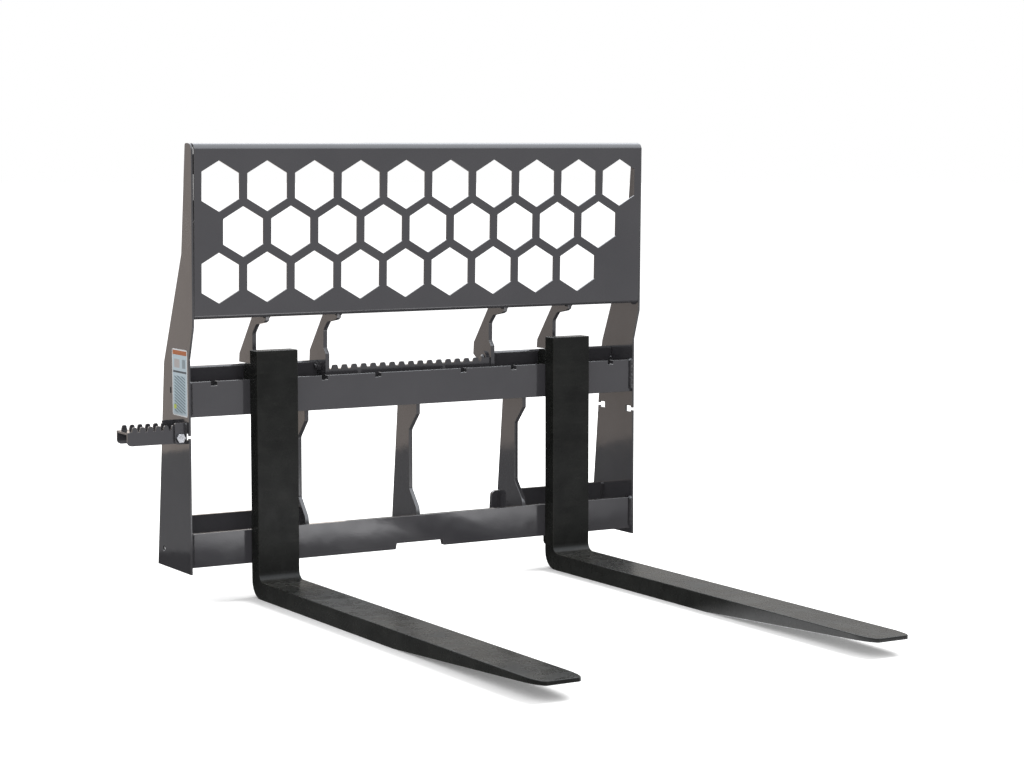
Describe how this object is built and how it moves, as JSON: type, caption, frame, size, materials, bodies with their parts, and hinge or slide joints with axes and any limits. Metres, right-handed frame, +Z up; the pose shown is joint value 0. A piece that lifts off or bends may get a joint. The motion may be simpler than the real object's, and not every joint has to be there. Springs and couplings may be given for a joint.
{
  "type": "pallet fork attachment",
  "caption": "Welded loader carriage with a honeycomb backrest, sliding hook-on pallet forks with lock pins, a serrated centre step and a folding side step.",
  "frame": {"origin": "middle of the upper fork bar's top edge, on the frame's plane of symmetry", "axes": "+X to the right across the carriage, -Y along the fork blades towards their tips, +Z up"},
  "size_m": [1.318, 1.439, 1.024],
  "materials": {
    "frame_paint": "charcoal grey powder coat, satin gloss",
    "fork_steel": "black paint on forged steel, satin, slightly rough",
    "zinc": "bright zinc plate",
    "spring_steel": "oiled spring steel"
  },
  "bodies": {
    "carriage": {"backrest_panel": "frame_paint", "backrest_upright_inner_left": "frame_paint", "backrest_upright_inner_right": "frame_paint", "backrest_upright_outer_left": "frame_paint", "backrest_upright_outer_right": "frame_paint", "centre_step": "frame_paint", "centre_step_bolt_left": "frame_paint", "centre_step_bolt_right": "frame_paint", "centre_step_nut_left": "frame_paint", "centre_step_nut_right": "frame_paint", "left_attach_hook": "frame_paint", "left_attach_plate": "frame_paint", "left_side_plate": "frame_paint", "lower_fork_bar": "frame_paint", "lower_upright_centre": "frame_paint", "lower_upright_left": "frame_paint", "lower_upright_right": "frame_paint", "right_attach_hook": "frame_paint", "right_attach_plate": "frame_paint", "right_side_plate": "frame_paint", "side_step_bolt_front": "zinc", "side_step_bolt_rear": "zinc", "side_step_ear_front": "frame_paint", "side_step_ear_rear": "frame_paint", "side_step_nut_front": "zinc", "side_step_nut_rear": "zinc", "upper_fork_bar": "frame_paint"},
    "left_fork_unit": {"left_fork": "fork_steel", "left_fork_bottom_hook": "fork_steel", "left_fork_top_hook": "fork_steel", "left_spring_plug": "zinc"},
    "right_fork_unit": {"right_fork": "fork_steel", "right_fork_bottom_hook": "fork_steel", "right_fork_top_hook": "fork_steel", "right_spring_plug": "zinc"},
    "left_lock": {"left_lock_handle": "zinc", "left_lock_pin": "zinc", "left_lock_spring": "spring_steel"},
    "right_lock": {"right_lock_handle": "zinc", "right_lock_pin": "zinc", "right_lock_spring": "spring_steel"},
    "folding_step": {"side_step": "frame_paint"}
  },
  "joints": [
    {"name": "left_fork_slide", "type": "slide", "parent": "carriage", "child": "left_fork_unit", "axis": [1, 0, 0], "range_m": [-0.1375, 0.275]},
    {"name": "right_fork_slide", "type": "slide", "parent": "carriage", "child": "right_fork_unit", "axis": [1, 0, 0], "range_m": [-0.275, 0.1375]},
    {"name": "left_lock_drop", "type": "slide", "parent": "left_fork_unit", "child": "left_lock", "axis": [0, 0, 1], "range_m": [-0.0105, 0], "deforming": ["left_lock_spring"]},
    {"name": "right_lock_drop", "type": "slide", "parent": "right_fork_unit", "child": "right_lock", "axis": [0, 0, 1], "range_m": [-0.0105, 0], "deforming": ["right_lock_spring"]},
    {"name": "side_step_fold", "type": "hinge", "parent": "carriage", "child": "folding_step", "pos_m": [-0.605, 0.03975, -0.1241], "axis": [0, 1, 0], "range_deg": [0, 42]}
  ]
}
